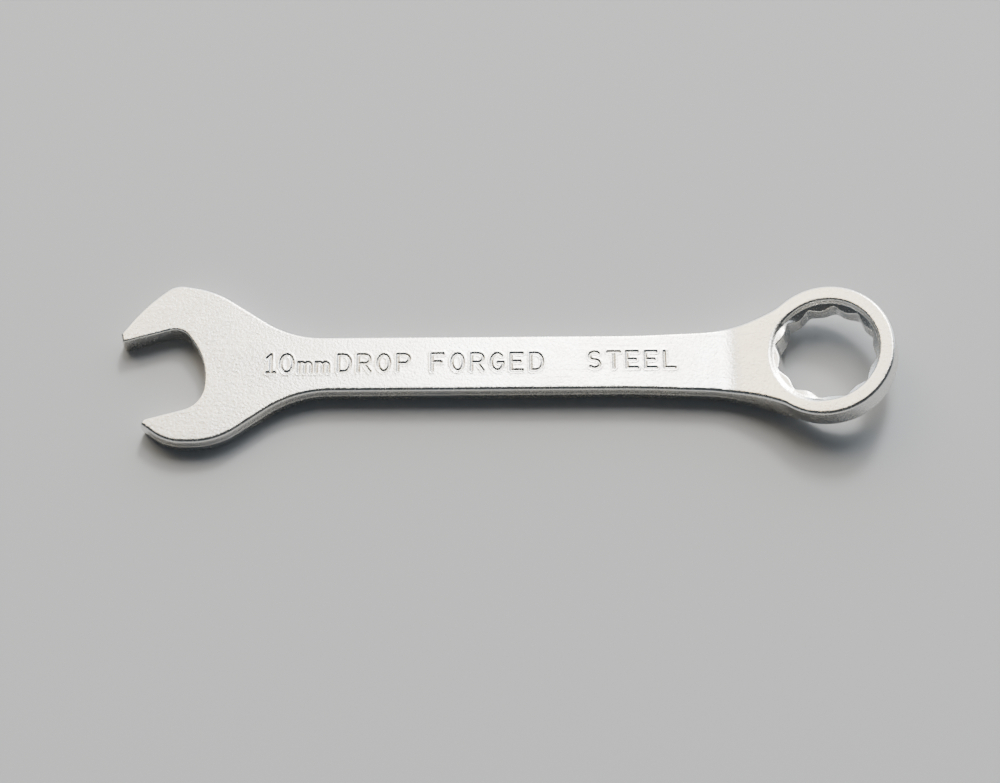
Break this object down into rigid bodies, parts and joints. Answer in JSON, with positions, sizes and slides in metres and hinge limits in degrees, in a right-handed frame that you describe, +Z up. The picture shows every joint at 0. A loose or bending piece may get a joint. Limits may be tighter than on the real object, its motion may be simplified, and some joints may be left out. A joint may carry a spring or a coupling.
{
  "type": "combination wrench",
  "caption": "Short combination wrench: an open jaw turned 15 degrees at one end, a raised twelve-point ring at the other, plain flat shank between.",
  "frame": {"origin": "middle of the bounding box at the level of the surface that the wrench lies on", "axes": "+X along the shank from the open end to the ring, +Z up out of the stamped face, +Y towards the upper jaw"},
  "size_m": [0.0906, 0.02, 0.0084],
  "materials": {
    "chrome_plate": "satin"
  },
  "bodies": {
    "root": {"open_end_head": "chrome_plate", "shank": "chrome_plate", "box_end_ring": "chrome_plate"}
  },
  "joints": []
}
